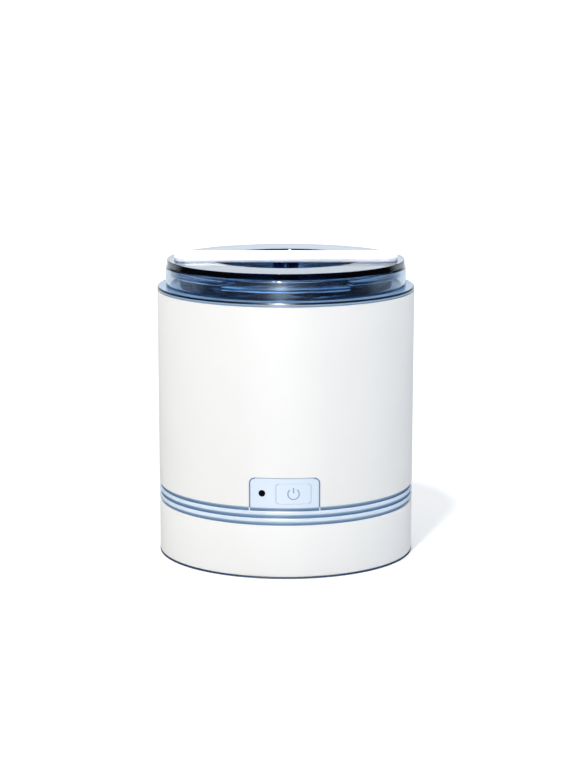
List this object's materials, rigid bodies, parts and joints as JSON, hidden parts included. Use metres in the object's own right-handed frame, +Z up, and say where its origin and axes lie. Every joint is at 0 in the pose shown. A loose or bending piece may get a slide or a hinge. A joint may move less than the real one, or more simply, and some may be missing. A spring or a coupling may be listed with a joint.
{
  "type": "ultrasonic jewelry cleaner",
  "caption": "Round tabletop ultrasonic bath for jewelry with a steel tank, lift-out basket, smoked lift-off lid with a bar handle, push button and lamp.",
  "frame": {"origin": "centre of the round foot on the table, directly under the body axis", "axes": "+Z up along the body axis, -Y out of the front with the button, +Y out of the rear with the inlet socket, +X to the right seen from the front"},
  "size_m": [0.116, 0.116, 0.1355],
  "materials": {
    "white_shell": "white moulded plastic, satin gloss",
    "pale_blue": "pale blue moulded plastic",
    "clear_blue": "pale blue glossy moulded plastic",
    "smoked_clear": "smoked navy clear plastic, polished",
    "white_bar": "white plastic, gloss",
    "tank_steel": "drawn stainless steel, polished",
    "silicone": "translucent silicone",
    "basket_plastic": "pale translucent plastic",
    "dark_cover": "dark blue grey plastic, fine texture",
    "foot_rubber": "black rubber",
    "lens_dark": "dark tinted lens",
    "lamp_epoxy": "clear epoxy",
    "board": "glass-fibre board, green solder mask",
    "black_plastic": "black moulded plastic",
    "screw_steel": "zinc plated steel",
    "ceramic": "piezo ceramic",
    "light_metal": "machined aluminium",
    "contact_brass": "bright brass",
    "ferrite": "ferrite, matt",
    "copper_tape": "copper winding under yellow tape",
    "can_sleeve": "shrink sleeve",
    "film_case": "red moulded case",
    "lead_sleeve": "red insulation"
  },
  "bodies": {
    "root": {"upper_housing": "white_shell", "base_shell": "white_shell", "accent_band": "pale_blue", "control_panel": "pale_blue", "indicator_lens": "lens_dark", "indicator_led": "lamp_epoxy", "button_board": "board", "button_board_screws": "screw_steel", "switch_body": "black_plastic", "collar_ring": "clear_blue", "tank": "tank_steel", "tank_gasket": "silicone", "transducer_front_mass": "light_metal", "piezo_rings": "ceramic", "electrodes": "contact_brass", "transducer_back_mass": "screw_steel", "transducer_washer": "screw_steel", "transducer_bolt": "screw_steel", "transducer_leads": "lead_sleeve", "bottom_cover": "dark_cover", "cover_screws": "screw_steel", "case_screws": "screw_steel", "rubber_feet": "foot_rubber", "driver_board": "board", "board_screws": "screw_steel", "dc_jack": "black_plastic", "dc_jack_pin": "contact_brass", "transformer_core": "ferrite", "transformer_winding": "copper_tape", "bulk_capacitors": "can_sleeve", "film_capacitor": "film_case", "heat_sink": "light_metal", "power_transistors": "black_plastic", "choke_coil": "copper_tape", "driver_chip": "black_plastic", "lead_plug": "black_plastic", "panel_leads": "lead_sleeve"},
    "lid": {"lid_shell": "smoked_clear", "lid_handle": "white_bar", "lid_handle_screw": "screw_steel"},
    "basket": {"basket": "basket_plastic"},
    "button": {"power_button": "pale_blue"},
    "plunger": {"switch_plunger": "black_plastic"}
  },
  "joints": [
    {"name": "lid_lift", "type": "slide", "parent": "root", "child": "lid", "axis": [0, 0, 1], "range_m": [0, 0.16]},
    {"name": "basket_lift", "type": "slide", "parent": "root", "child": "basket", "axis": [0, 0, 1], "range_m": [0, 0.072]},
    {"name": "button_press", "type": "slide", "parent": "root", "child": "button", "axis": [0, 1, 0], "range_m": [0, 0.0004], "stiffness_N_per_m": 800, "springref_m": -0.0005},
    {"name": "switch_travel", "type": "slide", "parent": "root", "child": "plunger", "axis": [0, 1, 0], "range_m": [0, 0.0004]}
  ],
  "couplings": [
    {"joint": "basket_lift", "follows": "lid_lift", "ratio": 0.45},
    {"joint": "switch_travel", "follows": "button_press", "ratio": 1}
  ]
}
